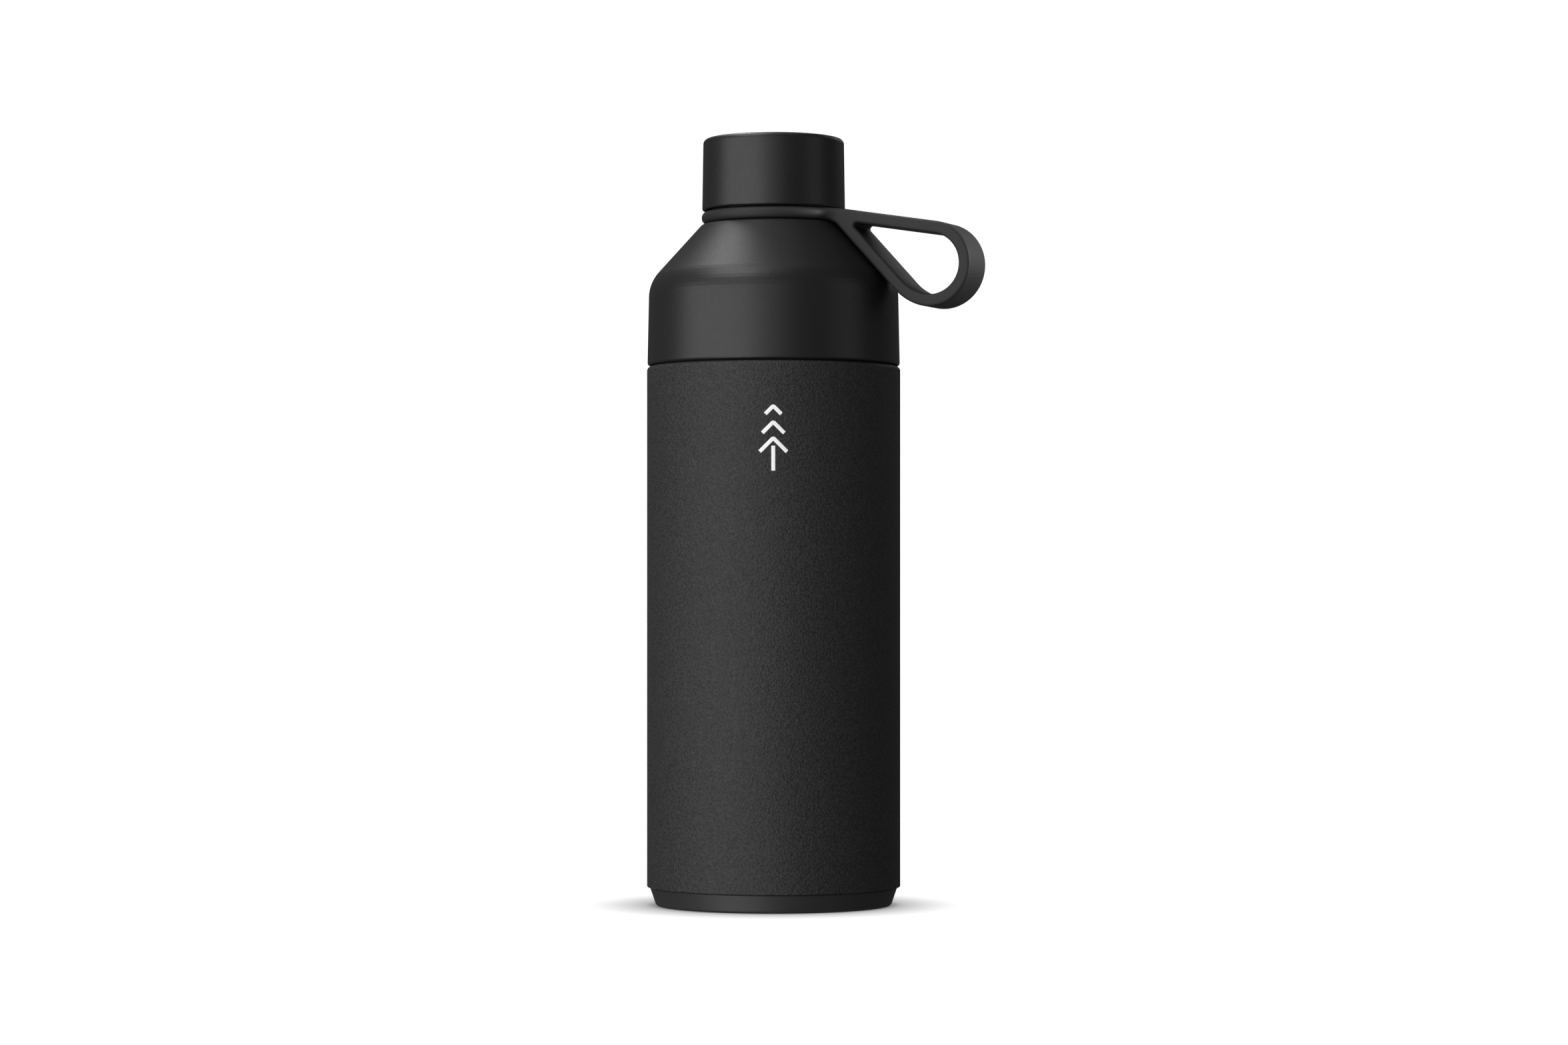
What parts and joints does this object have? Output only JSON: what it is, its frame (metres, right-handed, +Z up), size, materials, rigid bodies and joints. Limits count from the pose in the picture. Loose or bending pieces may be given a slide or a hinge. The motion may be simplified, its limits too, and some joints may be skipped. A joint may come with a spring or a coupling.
{
  "type": "insulated water bottle",
  "caption": "Black double-walled steel water bottle with a screw-on conical shoulder, a drinking spout under a screw cap and a moulded rubber carry loop that swivels under the cap.",
  "frame": {"origin": "centre of the base cap's flat underside, on the bottle's axis", "axes": "+Z up along the bottle's axis, +X towards the carry loop at rest"},
  "size_m": [0.1198, 0.088, 0.2661],
  "materials": {
    "powder_coat": "matte",
    "bare_steel": "satin",
    "copper_foil": "gloss",
    "getter_metal": "matte",
    "sealing_glass": "gloss",
    "adhesive": "matte",
    "base_plastic": "satin",
    "shell_plastic": "satin",
    "liner_plastic": "satin",
    "strap_rubber": "matte",
    "black_silicone": "satin",
    "grey_silicone": "satin",
    "foam": "matte"
  },
  "bodies": {
    "vessel": {"outer_wall": "powder_coat", "inner_wall": "bare_steel", "heat_foil": "copper_foil", "vessel_bottom": "bare_steel", "getter": "getter_metal", "port_seal": "sealing_glass", "base_pad": "adhesive", "base_cap": "base_plastic"},
    "gasket_ring": {"shoulder_gasket": "black_silicone"},
    "shoulder": {"shoulder_shell": "shell_plastic", "shoulder_liner": "liner_plastic", "shoulder_foam": "foam", "spout": "liner_plastic"},
    "strap": {"carry_strap": "strap_rubber"},
    "seal_ring": {"cap_seal": "grey_silicone"},
    "cap": {"cap_shell": "shell_plastic", "cap_liner": "liner_plastic", "cap_foam": "foam"}
  },
  "joints": [
    {"name": "shoulder_lift", "type": "slide", "parent": "vessel", "child": "gasket_ring", "axis": [0, 0, 1], "range_m": [0, 0.01805]},
    {"name": "shoulder_turn", "type": "hinge", "parent": "gasket_ring", "child": "shoulder", "pos_m": [0, 0, 0.187], "axis": [0, 0, 1], "range_deg": [0, 540]},
    {"name": "strap_swivel", "type": "hinge", "parent": "shoulder", "child": "strap", "pos_m": [0, 0, 0.2387], "axis": [0, 0, 1], "continuous": true},
    {"name": "cap_lift", "type": "slide", "parent": "shoulder", "child": "seal_ring", "axis": [0, 0, 1], "range_m": [0, 0.02005]},
    {"name": "cap_turn", "type": "hinge", "parent": "seal_ring", "child": "cap", "pos_m": [0, 0, 0.2413], "axis": [0, 0, 1], "range_deg": [0, 600]}
  ],
  "couplings": [
    {"joint": "shoulder_lift", "follows": "shoulder_turn", "m_per_rad": 0.0019099},
    {"joint": "cap_lift", "follows": "cap_turn", "m_per_rad": 0.0019099}
  ]
}
